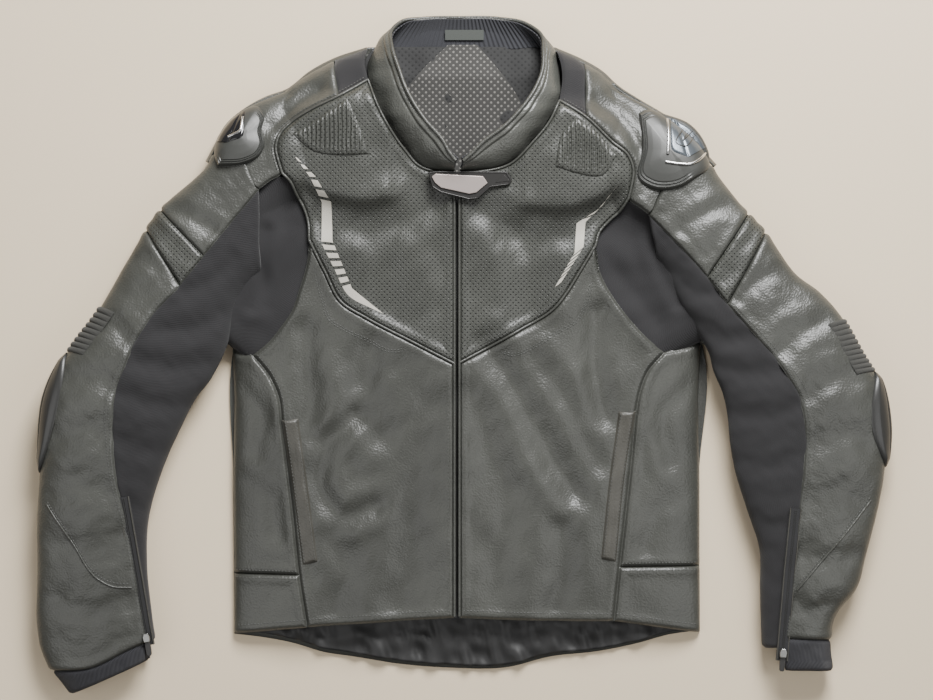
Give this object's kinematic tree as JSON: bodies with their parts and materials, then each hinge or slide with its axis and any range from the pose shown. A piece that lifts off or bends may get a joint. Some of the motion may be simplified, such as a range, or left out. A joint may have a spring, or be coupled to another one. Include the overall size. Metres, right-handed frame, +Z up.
{
  "type": "leather motorcycle jacket",
  "caption": "Two-tone charcoal leather riding jacket lying on its back: perforated yoke, stretch underarms, shoulder caps, elbow sliders, stand collar with tab, zips.",
  "frame": {"origin": "underside of the back panel below the main zip, at yoke-point height", "axes": "+X to the wearer's left sleeve (right in the picture), +Y to the collar, +Z up through the front"},
  "size_m": [0.9278, 0.7348, 0.072],
  "materials": {
    "leather": "charcoal leather, fine pebble grain, satin",
    "perforated_leather": "charcoal leather with rows of small holes",
    "stretch": "matte blue-black stretch weave",
    "binding": "blue-black elastic binding",
    "knit": "dark blue ribbed knit",
    "lining": "dark mesh lining",
    "foam": "closed-cell protector foam",
    "slider_shell": "hard satin shell",
    "metal": "polished zip metal",
    "cap": "moulded cap with bright plate",
    "badge": "warm grey satin plate",
    "tape": "black zip tape with teeth",
    "label": "woven grey label, no lettering"
  },
  "bodies": {
    "jacket_body": {"front_yoke_l": "perforated_leather", "front_panel_l": "leather", "side_panel_l": "leather", "hem_band_l": "leather", "shoulder_panel_l": "leather", "shoulder_stretch_l": "stretch", "underarm_gusset_l": "stretch", "shoulder_cap_l": "cap", "shoulder_protector_l": "foam", "pocket_welt_l": "leather", "main_zip_tape_l": "tape", "front_yoke_r": "perforated_leather", "front_panel_r": "leather", "side_panel_r": "leather", "hem_band_r": "leather", "shoulder_panel_r": "leather", "shoulder_stretch_r": "stretch", "underarm_gusset_r": "stretch", "shoulder_cap_r": "cap", "shoulder_protector_r": "foam", "pocket_welt_r": "leather", "main_zip_tape_r": "tape", "back_panel": "leather", "back_lining": "lining", "back_protector": "foam", "collar_shell": "leather", "collar_lining": "knit", "neck_label": "label", "collar_stud": "metal"},
    "arm_l": {"sleeve_upper_l": "leather", "sleeve_stretch_l": "stretch", "perforated_band_l": "perforated_leather"},
    "arm_r": {"sleeve_upper_r": "leather", "sleeve_stretch_r": "stretch", "perforated_band_r": "perforated_leather"},
    "forearm_l": {"forearm_leather_l": "leather", "forearm_stretch_l": "stretch", "cuff_band_l": "binding", "elbow_accordion_l": "stretch", "elbow_slider_l": "slider_shell", "elbow_protector_l": "foam", "cuff_zip_tape_l": "tape"},
    "forearm_r": {"forearm_leather_r": "leather", "forearm_stretch_r": "stretch", "cuff_band_r": "binding", "elbow_accordion_r": "stretch", "elbow_slider_r": "slider_shell", "elbow_protector_r": "foam", "cuff_zip_tape_r": "tape"},
    "cuff_slider_l": {"cuff_zip_slider_l": "metal"},
    "cuff_pull_l": {"cuff_zip_pull_l": "metal"},
    "cuff_slider_r": {"cuff_zip_slider_r": "metal"},
    "cuff_pull_r": {"cuff_zip_pull_r": "metal"},
    "zip_slider": {"main_zip_slider": "metal"},
    "zip_pull": {"main_zip_pull": "metal"},
    "neck_tab": {"collar_tab": "leather", "collar_tab_badge": "badge"}
  },
  "joints": [
    {"name": "shoulder_swing_l", "type": "hinge", "parent": "jacket_body", "child": "arm_l", "pos_m": [-0.229, 0.248, 0.027], "axis": [0, 0, -1], "range_deg": [0, 18], "deforming": ["underarm_gusset_l"]},
    {"name": "elbow_bend_l", "type": "hinge", "parent": "arm_l", "child": "forearm_l", "pos_m": [-0.334, 0.01, 0.028], "axis": [0, 0, 1], "range_deg": [-18, 10]},
    {"name": "cuff_zip_slide_l", "type": "slide", "parent": "forearm_l", "child": "cuff_slider_l", "axis": [-0.1524, 0.9814, 0.1164], "range_m": [0, 0.145]},
    {"name": "cuff_pull_swing_l", "type": "hinge", "parent": "cuff_slider_l", "child": "cuff_pull_l", "pos_m": [-0.33428, -0.28873, 0.03757], "axis": [-0.9882, -0.1534, 0], "range_deg": [0, 80]},
    {"name": "shoulder_swing_r", "type": "hinge", "parent": "jacket_body", "child": "arm_r", "pos_m": [0.232, 0.238, 0.027], "axis": [0, 0, 1], "range_deg": [0, 18], "deforming": ["underarm_gusset_r"]},
    {"name": "elbow_bend_r", "type": "hinge", "parent": "arm_r", "child": "forearm_r", "pos_m": [0.35, 0.016, 0.028], "axis": [0, 0, -1], "range_deg": [-18, 10]},
    {"name": "cuff_zip_slide_r", "type": "slide", "parent": "forearm_r", "child": "cuff_slider_r", "axis": [0.0782, 0.9929, 0.0891], "range_m": [0, 0.147]},
    {"name": "cuff_pull_swing_r", "type": "hinge", "parent": "cuff_slider_r", "child": "cuff_pull_r", "pos_m": [0.35067, -0.30449, 0.04318], "axis": [-0.9969, 0.0785, 0], "range_deg": [0, 80]},
    {"name": "main_zip_slide", "type": "slide", "parent": "jacket_body", "child": "zip_slider", "axis": [0, -0.9993, -0.0367], "range_m": [0, 0.445]},
    {"name": "zip_pull_swing", "type": "hinge", "parent": "zip_slider", "child": "zip_pull", "pos_m": [0, 0.18751, 0.0485], "axis": [1, 0, 0], "range_deg": [0, 12]},
    {"name": "neck_tab_open", "type": "hinge", "parent": "jacket_body", "child": "neck_tab", "pos_m": [-0.031, 0.206, 0.04745], "axis": [0, -1, 0], "range_deg": [0, 80]}
  ]
}
